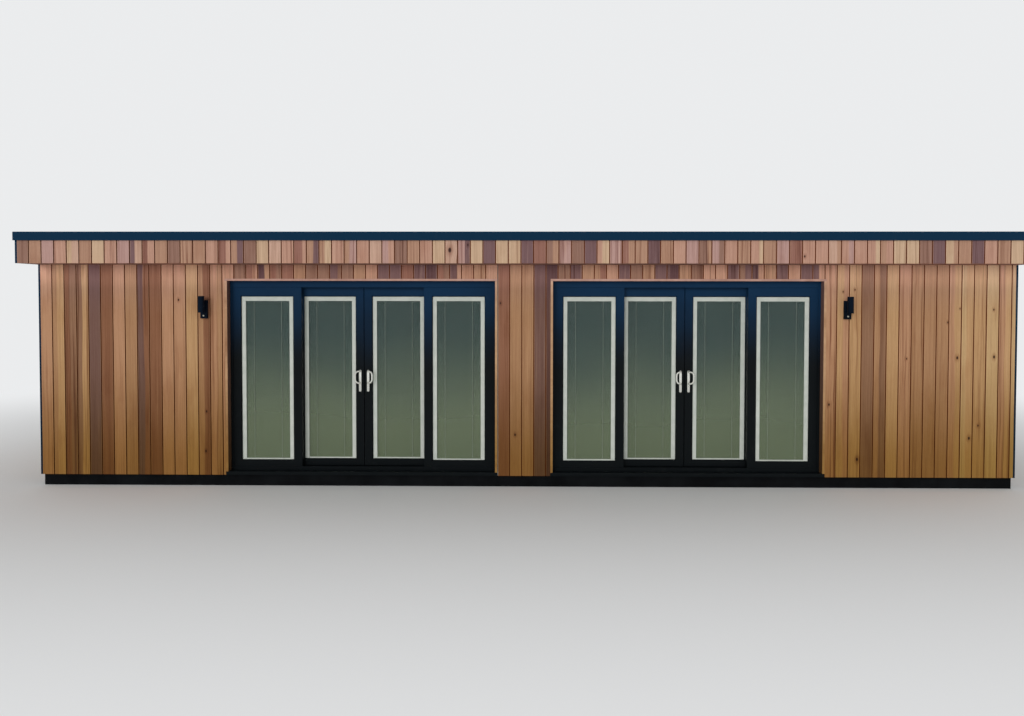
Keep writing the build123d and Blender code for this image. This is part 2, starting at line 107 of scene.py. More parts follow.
# Handles
PLATE_HALF_WIDTH = 0.0125
PLATE_T = 0.009
PLATE_EDGE = 0.0015
PULL_RADIUS = 0.009
PULL_HEIGHT = 0.122
PULL_TOP_INSET = 0.013
PULL_SEAT_BEND = 0.008
PULL_GRIP_BEND = 0.038
LOCK_RISE = 0.060
LOCK_RADIUS = 0.0085
LOCK_REACH = 0.003
LOCKED_DOORS = (2, 4)

# Wall lights
LIGHT_BOX_WIDTH = 0.072
LIGHT_BOX_HEIGHT = 0.187
LIGHT_BOX_DEPTH = 0.028
LIGHT_EDGE = 0.004
LIGHT_TUBE_RADIUS = 0.031
LIGHT_TUBE_RISE = 0.061
LIGHT_TUBE_HEIGHT = 0.168
LIGHT_TUBE_STAND = 0.090
LIGHT_TUBE_WALL = 0.003
LIGHT_SHADE_DEPTH = 0.030
LIGHT_ARM_WIDTH = 0.026
LIGHT_ARM_HEIGHT = 0.034
LIGHT_ARM_RISE = 0.137
SENSOR_RISE = 0.028
SENSOR_RADIUS = 0.012

# Floor and roof sheets
PLANK_WIDTH = 0.190
PLANK_GAP = 0.001
SHEET_WIDTH = 1.25
LAP_WIDTH = 0.06
LAP_T = 0.0015
MEMBRANE_T = 0.005

# Doorway linings and soffit
LINING_HEAD_T = 0.022
LINING_JAMB_T = 0.024
LINING_GAP = 0.0005
LINING_EDGE = 0.002
SOFFIT_BOARDS = 3

# Downpipe
PIPE_RADIUS = 0.034
PIPE_SOCKET = 0.003
PIPE_CLIPS = 3
CLIP_HALF_HEIGHT = 0.015

# Studio
PALE = (0.83, 0.84, 0.85, 1)
FLOOR_HALF_SIZE = 90
FADE_DISTANCE = 7.0
SUN_ENERGY = 1.55
SUN_ANGLES = (80, 0, -20)
SUN_SPREAD = 35
WORLD_STRENGTH = 0.65

X, Y, Z = Vector((1, 0, 0)), Vector((0, 1, 0)), Vector((0, 0, 1))


# Colours and nodes

def rgb(text):
    """Linear colour from a written sRGB one such as 'c89a6e'."""
    values = [int(text[i:i + 2], 16) / 255 for i in (0, 2, 4)]
    return [v / 12.92 if v <= 0.04045 else ((v + 0.055) / 1.055) ** 2.4 for v in values] + [1]


class Tree:
    """A material's node tree, with a short call for each kind of node used here."""

    def __init__(self, name):
        self.material = bpy.data.materials.new(name)
        self.material.use_nodes = True
        self.tree = self.material.node_tree
        self.shader = self.tree.nodes["Principled BSDF"]
        self.output = self.tree.nodes["Material Output"]

    def join(self, source, socket):
        if isinstance(source, (int, float)):
            socket.default_value = source
        elif isinstance(source, (tuple, list)):
            socket.default_value = source[:len(socket.default_value)]
        else:
            self.tree.links.new(source, socket)

    def add(self, kind, inputs=(), **settings):
        node = self.tree.nodes.new("ShaderNode" + kind)
        for name, value in settings.items():
            setattr(node, name, value)
        for name, value in dict(inputs).items():
            self.join(value, node.inputs[name])
        return node

    def attribute(self, name):
        return self.add("Attribute", attribute_name=name)

    def math(self, operation, a, b=0.0, clamp=False):
        return self.add("Math", {0: a, 1: b}, operation=operation, use_clamp=clamp).outputs[0]

    def vector_math(self, operation, a, b):
        node = self.add("VectorMath", {0: a, 1: b}, operation=operation)
        return node.outputs["Value" if operation in ("LENGTH", "DISTANCE") else "Vector"]

    def combine(self, x, y, z):
        return self.add("CombineXYZ", {0: x, 1: y, 2: z}).outputs[0]

    def separate(self, vector):
        return self.add("SeparateXYZ", {0: vector}).outputs

    def object_place(self):
        return self.add("TexCoord").outputs["Object"]

    def height(self):
        return self.separate(self.object_place())[2]

    def noise(self, vector, scale=1.0, detail=3.0, rough=0.5, distortion=0.0):
        return self.add("TexNoise", {"Vector": vector, "Scale": scale, "Detail": detail,
                                     "Roughness": rough, "Distortion": distortion}).outputs["Fac"]

    def span(self, value, low, high, to_low=0.0, to_high=1.0):
        return self.add("MapRange", {0: value, 1: low, 2: high, 3: to_low, 4: to_high},
                        interpolation_type="SMOOTHSTEP").outputs[0]

    def blend(self, factor, a, b, mode="MIX"):
        node = self.add("Mix", data_type="RGBA", blend_type=mode)
        for value, socket in ((factor, node.inputs[0]), (a, node.inputs[6]), (b, node.inputs[7])):
            self.join(value, socket)
        return node.outputs[2]

    def bump(self, height, strength, distance):
        node = self.add("Bump", {"Height": height, "Strength": strength, "Distance": distance})
        self.join(node.outputs[0], self.shader.inputs["Normal"])

    def set(self, **inputs):
        for name, value in inputs.items():
            self.join(value, self.shader.inputs[name.replace("_", " ")])


# Timber

# Tones of the boards
TONES = {
    "y": "ccaa7d",  # straw
    "l": "c8a17d",  # light salmon
    "h": "c59d71",  # honey
    "k": "b9927a",  # pink brown
    "s": "bf9270",  # salmon
    "t": "b38965",  # tan
    "r": "976a52",  # rose brown
    "b": "967157",  # brown
    "c": "91654a",  # red brown
    "p": "7b5d53",  # plum
    "d": "664a44",  # dark plum
    "o": "b58d63",  # oak, for the floor
    "q": "a37b52",  # darker oak, for the floor
}


def timber(name, painted_light_and_weathering):
    """Oiled boards. Each carries its two tones, where one gives way to the other, its
    own seed and up to two knots, and a painted highlight along its face edges. Outside
    they carry painted light: a bluish painted sky light towards the roof, a painted
    brightening just under the overhang where its shade falls on the front wall, and a
    darker, warmer foot that is partly damp weathering and partly painted shade."""
    t = Tree(name)
    across, along, seed = t.separate(t.attribute("place").outputs["Vector"])[:3]
    split, softness, face = t.separate(t.attribute("marks").outputs["Vector"])[:3]

    knots = 0.0
    halo = 0.0
    pull = 0.0
    for knot in ("knot_a", "knot_b"):
        knot_across, knot_along, size = t.separate(t.attribute(knot).outputs["Vector"])[:3]
        off_across = t.math("SUBTRACT", across, knot_across)
        off_along = t.math("MULTIPLY", t.math("SUBTRACT", along, knot_along), 0.62)
        away = t.vector_math("LENGTH", t.combine(off_across, off_along, 0.0), (0, 0, 0))
        near = t.math("DIVIDE", away, t.math("MAXIMUM", size, 0.0001))
        knots = t.math("MAXIMUM", knots, t.span(near, 1.15, 0.5))
        halo = t.math("MAXIMUM", halo, t.span(near, 3.2, 0.8))
        flow = t.math("MULTIPLY", off_across, t.span(near, 5.0, 1.0))
        pull = t.math("ADD", pull, t.math("MULTIPLY", flow, -0.7))

    place = t.combine(t.math("ADD", t.math("ADD", across, pull), t.math("MULTIPLY", seed, 3.7)),
                      t.math("ADD", along, t.math("MULTIPLY", seed, 11.0)), seed)
    drift = t.noise(t.vector_math("MULTIPLY", place, (4.0, 0.9, 1.0)), 1.0, 2.0)
    wander = t.math("MULTIPLY", t.math("SUBTRACT", drift, 0.5), 0.05)
    bent = t.vector_math("ADD", place, t.combine(wander, 0.0, 0.0))
    streaks = t.noise(t.vector_math("MULTIPLY", bent, (48.0, 0.6, 1.0)), 1.0, 3.0, 0.6)
    rings = t.noise(t.vector_math("MULTIPLY", bent, (230.0, 1.6, 1.0)), 1.0, 3.0, 0.65)
    fibres = t.noise(t.vector_math("MULTIPLY", place, (900.0, 22.0, 1.0)), 1.0, 2.0, 0.6)
    patches = t.noise(t.vector_math("MULTIPLY", place, (9.0, 2.2, 1.0)), 1.0, 3.0)
    lively = t.span(t.math("FRACT", t.math("MULTIPLY", seed, 7.3)), 0.35, 1.0, 0.3, 1.0)

    wobble = t.math("MULTIPLY", t.math("SUBTRACT", drift, 0.5), t.math("MULTIPLY", softness, 6.0))
    past = t.math("SUBTRACT", t.math("ADD", across, wobble), split)
    second = t.math("DIVIDE", past, softness, True)
    colour = t.blend(second, t.attribute("tone_a").outputs["Color"],
                     t.attribute("tone_b").outputs["Color"])
    dark_streaks = t.math("MULTIPLY", t.span(streaks, 0.47, 0.70, 0.0, 0.75), lively)
    light_streaks = t.math("MULTIPLY", t.span(streaks, 0.42, 0.24, 0.0, 0.4), lively)
    colour = t.blend(dark_streaks, colour, rgb("8f604b"), "MULTIPLY")
    colour = t.blend(light_streaks, colour, rgb("dcb48c"))
    colour = t.blend(t.span(rings, 0.40, 0.75, 0.0, 0.30), colour, rgb("9a6c52"), "MULTIPLY")
    colour = t.blend(t.span(fibres, 0.35, 0.7, 0.0, 0.16), colour, rgb("b08c70"), "MULTIPLY")
    colour = t.blend(t.span(patches, 0.48, 0.78, 0.0, 0.25), colour, rgb("b98a62"), "MULTIPLY")
    colour = t.blend(t.math("MULTIPLY", halo, 0.35), colour, rgb("a06a48"), "MULTIPLY")
    colour = t.blend(knots, colour, rgb("3a241b"))

    # painted highlight: the board face lighter within 5 mm of its edges, where the eased edges catch
    # light
    edge_left = t.span(across, 0.0, 0.005, 1.0, 0.0)
    edge_right = t.span(t.math("SUBTRACT", face, across), 0.0, 0.005, 1.0, 0.0)
    painted_edge_highlight = t.math("MULTIPLY", t.math("MAXIMUM", edge_left, edge_right),
                  t.span(patches, 0.3, 0.6, 0.2, 0.5))
    colour = t.blend(painted_edge_highlight, colour, rgb("dfb184"))
    left_side = t.math("LESS_THAN", across, 0.0004)
    right_side = t.math("GREATER_THAN", across, t.math("SUBTRACT", face, 0.0004))
    colour = t.blend(t.math("MAXIMUM", left_side, right_side), colour, rgb("6e2e0a"))

    if painted_light_and_weathering:
        height = t.height()
        # painted sky light: boards bluer and a little paler towards the roof and on the fascia
        colour = t.blend(t.span(height, 1.7, 2.4), colour, (1.07, 1.13, 1.48, 1), "MULTIPLY")
        # painted light: the front wall's boards just under the overhang are brightened to undo the
        # overhang's shade
        front = t.math("LESS_THAN", t.separate(t.object_place())[1], WALL_Y + 0.05)
        wall = t.math("LESS_THAN", height, SOFFIT)
        painted_light_under_overhang = t.math("MULTIPLY", t.math("MULTIPLY", front, wall), t.span(height, 2.0, 2.25))
        colour = t.blend(painted_light_under_overhang, colour, (1.62, 1.60, 1.58, 1), "MULTIPLY")
        # darker and warmer towards the ground: partly damp weathering, partly painted shade
        low = t.math("ADD", height, t.math("MULTIPLY", t.math("SUBTRACT", drift, 0.5), 0.5))
        colour = t.blend(t.span(low, 1.6, 0.15), colour, (0.55, 0.48, 0.24, 1), "MULTIPLY")

    t.set(Base_Color=colour, Roughness=t.span(fibres, 0.3, 0.7, 0.55, 0.75),
          Specular_IOR_Level=0.15)
    relief = t.math("ADD", t.math("MULTIPLY", rings, 0.6), t.math("MULTIPLY", fibres, 0.4))
    relief = t.math("SUBTRACT", relief, t.math("MULTIPLY", knots, 0.5))
    t.bump(relief, 0.3, 0.001)
    return t.material


# Making pieces

def add_piece(name, mesh, material, body, replaced=(), smooth=None):
    """Links a mesh as a piece that rides on a body. smooth is the sharpest angle, in
    degrees, that shades round."""
    mesh.materials.append(material)
    shape = bmesh.new()
    shape.from_mesh(mesh)
    bmesh.ops.recalc_face_normals(shape, faces=shape.faces)
    shape.to_mesh(mesh)
    shape.free()
    if smooth:
        mesh.polygons.foreach_set("use_smooth", [True] * len(mesh.polygons))
        mesh.set_sharp_from_angle(angle=math.radians(smooth))
    obj = bpy.data.objects.new(name, mesh)
    bpy.context.scene.collection.objects.link(obj)
    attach(obj, body)
    if replaced:
        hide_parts(*replaced)
    return obj


class Boards:
    """Collects boards as solids in one mesh, with what the timber reads from each."""

    def __init__(self, name):
        self.name = name
        self.points, self.faces = [], []
        self.data = {key: [] for key in ("place", "marks", "knot_a", "knot_b", "tone_a", "tone_b")}

    def board(self, origin, across, outwards, along, width, length, tones="s", split=None,
              knots=(), thickness=BOARD_T, soft=0.01, last=False, cut=(0.0, 0.0), seed=None):
        """One board. origin is the back of its first edge at its lower end. width is its
        cover, joint and all; a last board has no joint. cut is how much of the whole
        board is missing at its first and its second edge; pieces of one board share
        its seed, so that their grain and tones run on."""
        face = width - (0 if last else JOINT)
        whole = cut[0] + face + cut[1]
        seed = rng.uniform(0, 30) if seed is None else seed
        front = thickness - seed % 1 * 0.0008
        first, second = [0.0001 if missing else BOARD_EDGE for missing in cut]
        outline = [(0, 0), (0, front - first), (first * 0.3, front - first * 0.3), (first, front),
                   (face - second, front), (face - second * 0.3, front - second * 0.3),
                   (face, front - second)]
        if face < width:
            tongue = thickness - TONGUE_DEPTH
            outline += [(face, tongue), (width, tongue), (width, 0)]
        else:
            outline += [(face, 0)]
        start = len(self.points)
        count = len(outline)
        split = whole * 2 if split is None else split * whole
        rise = origin.dot(along)
        knots = (list(knots) + [(0, -9, 0), (0, -9, 0)])[:2]
        first_tone, second_tone = rgb(TONES[tones[0]]), rgb(TONES[tones[-1]])
        for step in (0, length):
            for u, depth in outline:
                self.points.append(origin + across * u + outwards * depth + along * step)
                self.data["place"].append((cut[0] + u, rise + step, seed))
                self.data["marks"].append((split, soft, whole))
                for key, (share, height, size) in zip(("knot_a", "knot_b"), knots):
                    self.data[key].append((share * whole, rise + height, size))
                self.data["tone_a"].append(first_tone)
                self.data["tone_b"].append(second_tone)
        ring = range(start, start + count)
        self.faces.append(list(reversed(ring)))
        self.faces.append([i + count for i in ring])
        for i in range(count):
            after = start + (i + 1) % count
            self.faces.append([start + i, after, after + count, start + i + count])

    def build(self, material, slot, *replaced):
        mesh = bpy.data.meshes.new(self.name)
        mesh.from_pydata(self.points, [], self.faces)
        for key, values in self.data.items():
            kind = "FLOAT_COLOR" if key.startswith("tone") else "FLOAT_VECTOR"
            attribute = mesh.attributes.new(key, kind, "POINT")
            attribute.data.foreach_set("color" if kind == "FLOAT_COLOR" else "vector",
                                       [number for value in values for number in value])
        return add_piece(self.name, mesh, material, "building", replaced)


class Solid:
    """Collects plain solids in one mesh."""

    def __init__(self, name):
        self.name = name
        self.points, self.faces = [], []

    def rings(self, rings):
        """A closed solid through rings of equally many points, with flat ends."""
        start, count = len(self.points), len(rings[0])
        for ring in rings:
            self.points += ring
        for level in range(len(rings) - 1):
            base = start + level * count
            for i in range(count):
                after = (i + 1) % count
                self.faces.append([base + i, base + after, base + count + after, base + count + i])
        last = start + (len(rings) - 1) * count
        self.faces.append(list(reversed(range(start, start + count))))
        self.faces.append(list(range(last, last + count)))

    def box(self, low, high, edge=0.0):
        """A block from one corner to the other, its level edges bevelled."""
        levels = [(low.z, edge), (low.z + edge, 0), (high.z - edge, 0), (high.z, edge)]
        levels = levels if edge else [levels[0], levels[-1]]
        self.rings([[Vector((low.x + inset, low.y + inset, z)),
                     Vector((high.x - inset, low.y + inset, z)),
                     Vector((high.x - inset, high.y - inset, z)),
                     Vector((low.x + inset, high.y - inset, z))] for z, inset in levels])

    def build(self, material, body, slot, replaced=(), smooth=None):
        mesh = bpy.data.meshes.new(self.name)
        mesh.from_pydata(self.points, [], self.faces)
        return add_piece(self.name, mesh, material, body, replaced, smooth)


def slot_ring(middle, half_width, half_height, y, inset=0.0, steps=20):
    """Points round an upright slot with fully rounded ends, in the plane of one y."""
    radius = half_width - inset
    ring = []
    for end, first in ((1, 0), (-1, math.pi)):
        for step in range(steps + 1):
            angle = first + math.pi * step / steps
            ring.append(Vector((middle.x + radius * math.cos(angle), y,
                                middle.z + end * (half_height - half_width)
                                + radius * math.sin(angle))))
    return ring


def round_ring(middle, radius, one, other, steps=32):
    """Points round a circle that lies along two directions."""
    turns = [2 * math.pi * step / steps for step in range(steps)]
    return [middle + one * (radius * math.cos(a)) + other * (radius * math.sin(a)) for a in turns]


def rounded_route(corners, radii, steps=8):
    """Points along straight runs that meet at right angles in arcs."""
    route = [corners[0]]
    for before, corner, after, radius in zip(corners, corners[1:], corners[2:], radii):
        back = (before - corner).normalized()
        ahead = (after - corner).normalized()
        middle = corner + (back + ahead) * radius
        for step in range(steps + 1):
            angle = math.pi / 2 * step / steps
            route.append(middle - ahead * (radius * math.cos(angle))
                         - back * (radius * math.sin(angle)))
    return route + [corners[-1]]


def tube_rings(route, radius, sides=20):
    """Rings round a route, carried along it without twisting."""
    rings = []
    normal = Z
    for number, point in enumerate(route):
        before = route[max(number - 1, 0)]
        after = route[min(number + 1, len(route) - 1)]
        heading = (after - before).normalized()
        normal = (normal - heading * normal.dot(heading)).normalized()
        rings.append(round_ring(point, radius, normal, heading.cross(normal), sides))
    return rings


# Boards on the walls

# Tones that each stretch of boards is drawn from, the commoner ones written more often
FASCIA_MIX = "tttssskkbbrpyyl"
LEFT_MIX = "cccsssbtthp"
MIDDLE_MIX = "sssttbbrppd"
RIGHT_MIX = "hhhtttssssylbr"
OTHER_MIX = "ylhksstrrbbppd"
TWO_TONED = 0.3

# Knots and resin marks seen on the front: along X, up Z and size, in metres
WALL_KNOTS = [
    (-3.55, 1.92, 0.009), (-3.27, 0.77, 0.009), (-3.28, 0.36, 0.010),
    (-0.24, 1.89, 0.008), (-0.09, 0.54, 0.010), (3.11, 0.86, 0.010),
    (3.24, 2.01, 0.007), (3.36, 2.03, 0.007), (3.40, 0.30, 0.013),
    (3.89, 1.33, 0.007), (4.30, 1.70, 0.008), (4.42, 1.84, 0.006),
    (4.40, 1.34, 0.012), (4.53, 0.52, 0.012), (4.62, 0.65, 0.008),
    (4.76, 1.83, 0.008), (4.77, 1.35, 0.012),
]
FASCIA_KNOTS = [(-0.72, 2.41, 0.018), (-0.54, 2.46, 0.008), (2.72, 2.35, 0.009)]


def knots_between(knots, a, b, low_z, high_z):
    return [((x - a) / (b - a), z - low_z, size) for x, z, size in knots
            if a < x < b and low_z < z < high_z]


def places(runs):
    """Start and end of every board in the runs."""
    return [(start + number * cover, start + (number + 1) * cover)
            for start, count, cover in runs for number in range(count)]


def front_wall(material):
    """Upright boards from end to end, cut round the two doorways."""
    left, pier = Boards("boards_front_left"), Boards("boards_pier")
    right, header = Boards("boards_front_right"), Boards("boards_over_doors")
    spans = [(left, wall_left[0].x, wall_left[1].x, BOARDS_LOW),
             (pier, wall_pier[0].x, wall_pier[1].x, BOARDS_LOW),
             (right, wall_right[0].x, wall_right[1].x, BOARDS_LOW),
             (header, wall_left[1].x, wall_pier[0].x, OPENING_TOP),
             (header, wall_pier[1].x, wall_right[0].x, OPENING_TOP)]
    for start, end in places(WALL_RUNS):
        tones = random_tone(mix_at((start + end) / 2))
        split = rng.uniform(0.35, 0.6)
        seed = rng.uniform(0, 30)
        face_end = end - JOINT
        for target, low_x, high_x, low_z in spans:
            a, b = max(start, low_x), min(end, high_x)
            if b - a < 0.004 or a > face_end - 0.001:
                continue
            target.board(Vector((a, BACK_Y, low_z)), X, -Y, Z, b - a, SOFFIT - low_z, tones,
                         split, knots_between(WALL_KNOTS, start, face_end, low_z, SOFFIT),
                         last=b < end, cut=(a - start, max(face_end - b, 0) if b < end else 0),
                         seed=seed)
    left.build(material, "cedar", "front_cladding_left")
    pier.build(material, "cedar", "front_cladding_pier")
    right.build(material, "cedar", "front_cladding_right")
    header.build(material, "cedar", "front_cladding_over_doors")


def run_of_boards(target, start, end, low, high, back, across, outwards):
    """Upright boards from start to end along one axis, the last cut to fit."""
    length = end - start
    count = math.ceil(length / BOARD_PITCH - 0.05)
    for number in range(count):
        a = number * BOARD_PITCH
        b = length if number == count - 1 else a + BOARD_PITCH
        origin = back + across * a + Vector((0, 0, low))
        target.board(origin, across, outwards, Z, b - a, high - low, random_tone(OTHER_MIX),
                     rng.uniform(0.35, 0.6), random_knots(high - low), last=b == length)


def mix_at(x):
    """The mix of tones on the front wall at one place along it."""
    if x < wall_left[1].x:
        return LEFT_MIX
    return RIGHT_MIX if x > wall_right[0].x else MIDDLE_MIX


def random_tone(mix):
    tone = rng.choice(mix)
    return tone + rng.choice(mix) if rng.random() < TWO_TONED else tone


def random_knots(length):
    if length < 0.5 or rng.random() > 0.35:
        return ()
    return [(rng.uniform(0.2, 0.8), rng.uniform(0.1, 0.9) * length, rng.uniform(0.006, 0.011))
            for _ in range(rng.choice((1, 1, 2)))]


def fascia(material):
    low, high = fascia_box
    boards = Boards("boards_fascia")
    for start, end in places(FASCIA_RUNS):
        tones = random_tone(FASCIA_MIX)
        a, b = max(start, low.x), min(end, high.x)
        if b - a > 0.004:
            boards.board(Vector((a, high.y, low.z)), X, -Y, Z, b - a, high.z - low.z, tones,
                         rng.uniform(0.35, 0.6), knots_between(FASCIA_KNOTS, a, b, low.z, high.z),
                         last=b < end)
    boards.build(material, "cedar", "fascia")
    cheeks = Boards("boards_cheeks")
    low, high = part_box("fascia_cheeks")
    for side in (-1, 1):
        back = Vector((side * (high.x - BOARD_T), low.y, 0))
        run_of_boards(cheeks, low.y, high.y, low.z, high.z, back, Y, side * X)
    cheeks.build(material, "cedar", "fascia_cheeks")
    # every soffit board gets the darker rose-brown tone r, painted shade under the overhang
    soffit = Boards("boards_soffit")
    low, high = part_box("soffit")
    width = (high.y - low.y) / SOFFIT_BOARDS
    for number in range(SOFFIT_BOARDS):
        origin = Vector((low.x, low.y + number * width, high.z))
        soffit.board(origin, Y, -Z, X, width, high.x - low.x, "r", thickness=high.z - low.z,
                     last=number == SOFFIT_BOARDS - 1)
    soffit.build(material, "cedar", "soffit")


def side_and_rear_walls(material):
    for side, name in ((-1, "left_cladding"), (1, "right_cladding")):
        low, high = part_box(name)
        boards = Boards("boards_" + name.split("_")[0])
        inner_x = low.x if side == 1 else high.x
        run_of_boards(boards, low.y, high.y, low.z, high.z, Vector((inner_x, low.y, 0)), Y, side * X)
        boards.build(material, "cedar", name)
    low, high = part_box("rear_cladding")
    boards = Boards("boards_rear")
    run_of_boards(boards, low.x, high.x, low.z, high.z, Vector((low.x, low.y, 0)), X, Y)
    boards.build(material, "cedar", "rear_cladding")


def reveals(material):
    """The doorways' linings: plain boards on edge, their front edges painted lighter as a painted
    highlight and their faces in the doorway painted plum as painted shade.
    """
    low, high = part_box("reveals")
    cill_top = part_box("cills")[1].z
    depth = high.y - low.y
    rim = (0.005, 0.0005)
    # front 2 mm in the lighter tone as a painted highlight, the rest in plum as painted shade
    painted_highlight_split = (rim[0] + LINING_EDGE) / (rim[0] + depth + rim[1])
    boards = Boards("boards_reveals")
    for start, end in ((wall_left[1].x, wall_pier[0].x), (wall_pier[1].x, wall_right[0].x)):
        boards.board(Vector((start, low.y, high.z)), Y, -Z, X, depth, end - start, "kp",
                     painted_highlight_split, thickness=LINING_HEAD_T, soft=0.001, last=True, cut=rim)
        top = high.z - LINING_HEAD_T - LINING_GAP
        for x, outwards in ((start, X), (end, -X)):
            boards.board(Vector((x, low.y, cill_top)), Y, outwards, Z, depth, top - cill_top,
                         "lp", painted_highlight_split, thickness=LINING_JAMB_T, soft=0.001, last=True,
                         cut=rim)
    boards.build(material, "cedar", "reveals")


def floor_planks(material):
    """Floor boards along the room, in rows with staggered ends."""
    low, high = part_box("floor_panel")
    planks = Boards("floor_planks")
    rows = math.ceil((high.y - low.y) / PLANK_WIDTH)
    width = (high.y - low.y) / rows
    for row in range(rows):
        start = low.x
        end = low.x + rng.uniform(0.8, 2.2)
        while start < high.x:
            end = high.x if high.x - end < 0.6 else end
            origin = Vector((start, low.y + row * width, low.z))
            planks.board(origin, Y, Z, X, width - PLANK_GAP, end - start - PLANK_GAP,
                         rng.choice("ooqoq"), thickness=high.z - low.z, last=True)
            start, end = end, end + rng.uniform(1.8, 2.4)
    planks.build(material, "floor", "floor_panel")


# Doors

def leaf_boxes(name):
    """Low and high corners of the glass of each leaf in a glass node."""
    obj = nodes[name]
    corners = [obj.matrix_world @ vertex.co for vertex in obj.data.vertices]
    xs = sorted({round(corner.x, 4) for corner in corners})
    low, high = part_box(name)
    return [(Vector((xs[i], low.y, low.z)), Vector((xs[i + 1], high.y, high.z)))
            for i in range(0, len(xs), 2)]


def gaskets(name, glass_node, body, material):
    """Rubber strips round each pane, outside and inside."""
    strips = Solid(name)
    for low, high in leaf_boxes(glass_node):
        x0, x1 = low.x + GLASS_BITE, high.x - GLASS_BITE
        z0, z1 = low.z + GLASS_BITE, high.z - GLASS_BITE
        for y0, y1 in ((low.y - GASKET_PROUD, low.y), (high.y, high.y + GASKET_PROUD)):
            for a, b in ((x0, x0 + GASKET_WIDTH), (x1 - GASKET_WIDTH, x1)):
                strips.box(Vector((a, y0, z0)), Vector((b, y1, z1)))
            for a, b in ((z0, z0 + GASKET_WIDTH), (z1 - GASKET_WIDTH, z1)):
                strips.box(Vector((x0, y0, a)), Vector((x1, y1, b)))
    strips.build(material, body, "door_frame")


def blinds(number, node, glass_node, body, cream, cord):
    """Frame of each blind between its panes, mitred at the corners, and two cords down it."""
    low_y, high_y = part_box(node)[0].y + BLIND_GAP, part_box(node)[1].y - BLIND_GAP
    borders, cords = Solid(f"blind_frame_{number}"), Solid(f"blind_cords_{number}")
    for low, high in leaf_boxes(glass_node):
        x0, x1 = low.x + GLASS_BITE, high.x - GLASS_BITE
        z0, z1 = low.z + GLASS_BITE, high.z - GLASS_BITE
        inner_x = (x0 + BORDER_SIDE, x1 - BORDER_SIDE)
        inner_z = (z0 + BORDER_BOTTOM, z1 - BORDER_TOP)
        outer = [(low.x, low.z), (high.x, low.z), (high.x, high.z), (low.x, high.z)]
        inner = [(inner_x[0], inner_z[0]), (inner_x[1], inner_z[0]),
                 (inner_x[1], inner_z[1]), (inner_x[0], inner_z[1])]
        for side in range(4):
            after = (side + 1) % 4
            rings = []
            for end in (side, after):
                (ox, oz), (ix, iz) = outer[end], inner[end]
                ex = ix + (0.002 if ox > ix else -0.002)
                ez = iz + (0.002 if oz > iz else -0.002)
                rings.append([Vector((ox, low_y, oz)), Vector((ex, low_y, ez)),
                              Vector((ix, low_y + 0.002, iz)), Vector((ix, high_y - 0.002, iz)),
                              Vector((ex, high_y, ez)), Vector((ox, high_y, oz))])
            borders.rings(rings)
        middle = (x0 + x1) / 2
        for x in (middle - CORD_OFFSET, middle + CORD_OFFSET):
            cords.rings([round_ring(Vector((x, (low_y + high_y) / 2, z)), CORD_RADIUS, X, Y, 8)
                         for z in inner_z])
    borders.build(cream, body, "blind", (node,))
    cords.build(cord, body, "blind")


def handle(number, metal, dark):
    """Slim plate with rounded ends, a D-shaped bow, two screws and, on two doors, a lock."""
    node = f"door_{number}_handle"
    body = f"door_{number}"
    side = 1 if number in LOCKED_DOORS else -1
    low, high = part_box(node)
    plate_x = low.x + PLATE_HALF_WIDTH if side == 1 else high.x - PLATE_HALF_WIDTH
    half_height = (high.z - low.z) / 2
    middle = Vector((plate_x, 0, (low.z + high.z) / 2))
    back = high.y
    face = back - PLATE_T
    piece = Solid(f"handle_{number}")
    piece.rings([slot_ring(middle, PLATE_HALF_WIDTH, half_height, y, inset)
                 for y, inset in ((back, 0), (face + PLATE_EDGE, 0),
                                  (face + PLATE_EDGE * 0.3, PLATE_EDGE * 0.3), (face, PLATE_EDGE))])
    top = high.z - PULL_TOP_INSET
    bottom = top - PULL_HEIGHT
    grip_x = (high.x if side == 1 else low.x) - side * PULL_RADIUS
    grip_y = low.y + PULL_RADIUS
    corners = [Vector(place) for place in (
        (plate_x, face, top), (plate_x, grip_y, top), (grip_x, grip_y, top),
        (grip_x, grip_y, bottom), (plate_x, grip_y, bottom), (plate_x, face, bottom))]
    bends = (PULL_SEAT_BEND, PULL_GRIP_BEND, PULL_GRIP_BEND, PULL_SEAT_BEND)
    piece.rings(tube_rings(rounded_route(corners, bends), PULL_RADIUS))
    for z in (top, bottom):
        seat = Vector((plate_x, face, z))
        piece.rings([round_ring(seat - Y * reach, radius, X, Z) for reach, radius in
                     ((0, 0.0105), (0.0015, 0.0105), (0.0025, 0.0095), (0.0025, 0.0072))])
    for z in (low.z + 0.016, (top + bottom) / 2):
        screw = Vector((plate_x, face, z))
        piece.rings([round_ring(screw - Y * reach, radius, X, Z, 20) for reach, radius in
                     ((0, 0.0042), (0.0006, 0.0040), (0.0011, 0.0028), (0.0012, 0.0006))])
    if number in LOCKED_DOORS:
        barrel = Vector((plate_x, face, low.z + LOCK_RISE))
        piece.rings([round_ring(barrel - Y * reach, radius, X, Z) for reach, radius in
                     ((0, LOCK_RADIUS), (LOCK_REACH - 0.0006, LOCK_RADIUS),
                      (LOCK_REACH, LOCK_RADIUS - 0.0006))])
        keyway = Solid(f"keyway_{number}")
        front = barrel - Y * LOCK_REACH
        keyway.box(front + Vector((-0.0015, -0.0002, -0.0045)), front + Vector((0.0015, 0.001, 0.0045)))
        keyway.build(dark, body, "handle_metal")
    piece.build(metal, body, "handle_metal", (node,), smooth=32)


# Lights and rainwater

